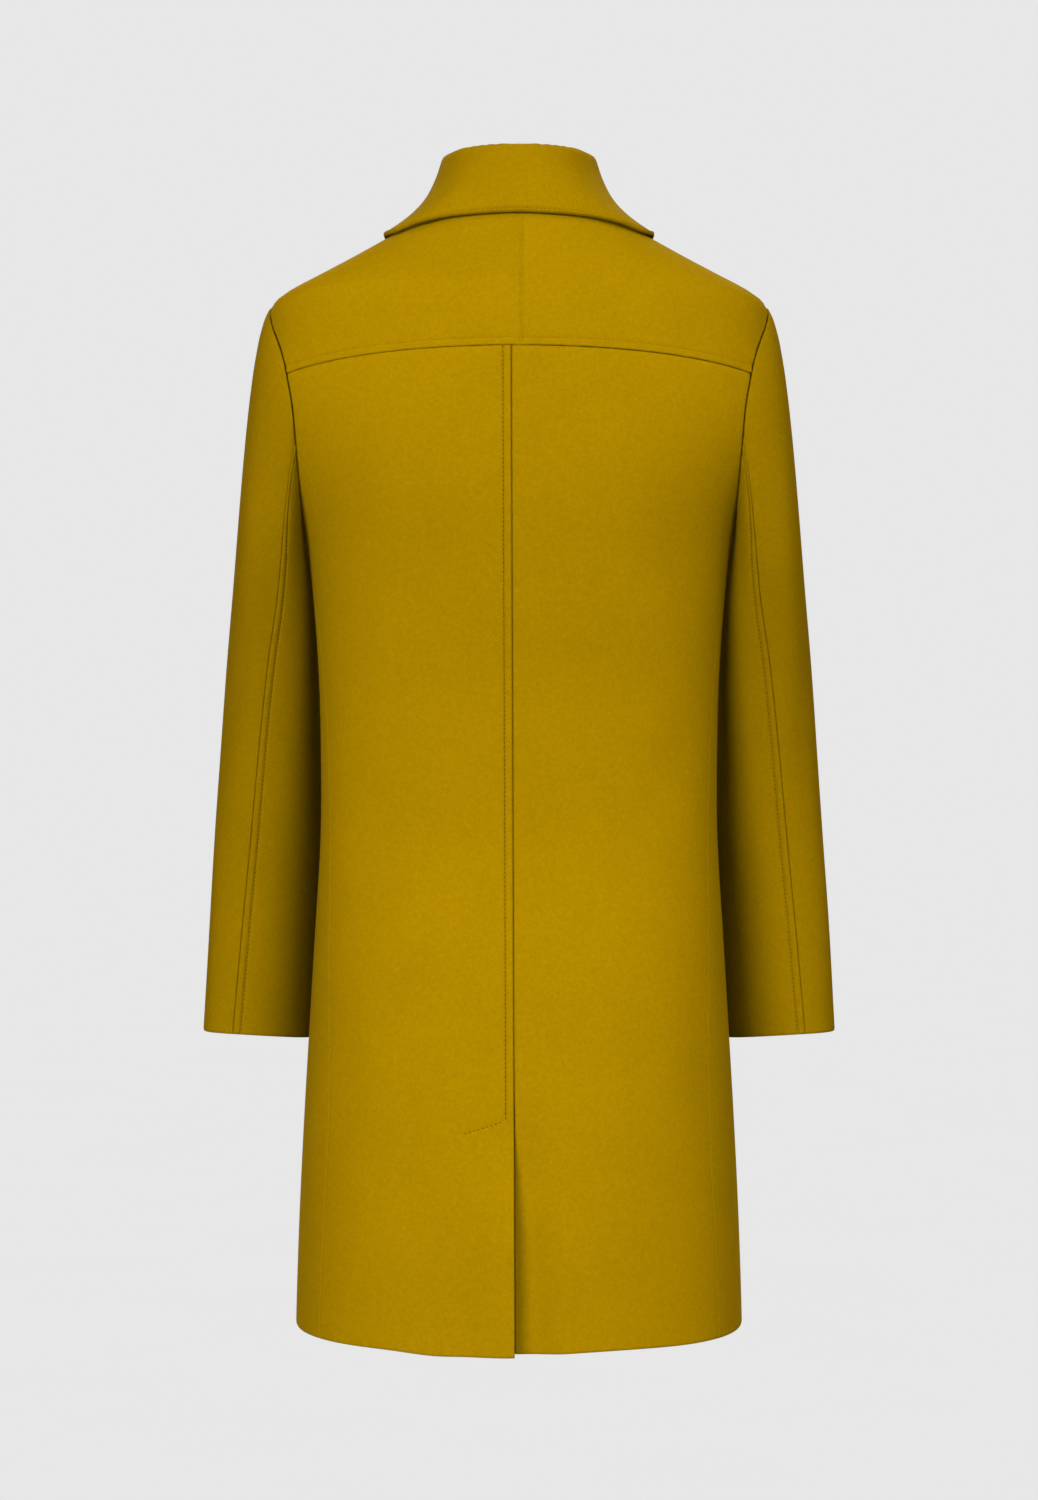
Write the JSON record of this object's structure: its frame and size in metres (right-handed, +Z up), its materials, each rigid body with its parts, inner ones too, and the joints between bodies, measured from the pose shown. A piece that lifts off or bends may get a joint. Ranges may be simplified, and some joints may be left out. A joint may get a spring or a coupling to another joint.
{
  "type": "winter coat",
  "caption": "Straight knee-length wool winter coat, filled out and hollow: back yoke, centre back seam with a hem vent, long set-in sleeves, turn-down collar and a buttoned front.",
  "frame": {"origin": "on the shoulder line, between the two points where the shoulders meet the neck, where the wearer's shoulders hold the coat up", "axes": "+Z up, +Y to the coat's front, -Y to its back, +X to the wearer's right"},
  "size_m": [0.5548, 0.304, 1.0004],
  "materials": {
    "wool_cloth": "felted mustard wool, matt with a soft nap",
    "button": "dark brown horn look, satin"
  },
  "bodies": {
    "root": {"back_left": "wool_cloth", "back_right": "wool_cloth", "back_yoke": "wool_cloth", "front_left": "wool_cloth", "front_right": "wool_cloth", "sleeve_left_top": "wool_cloth", "sleeve_left_under": "wool_cloth", "sleeve_right_top": "wool_cloth", "sleeve_right_under": "wool_cloth", "collar": "wool_cloth", "button_1": "button", "button_2": "button", "button_3": "button", "button_4": "button"}
  },
  "joints": []
}
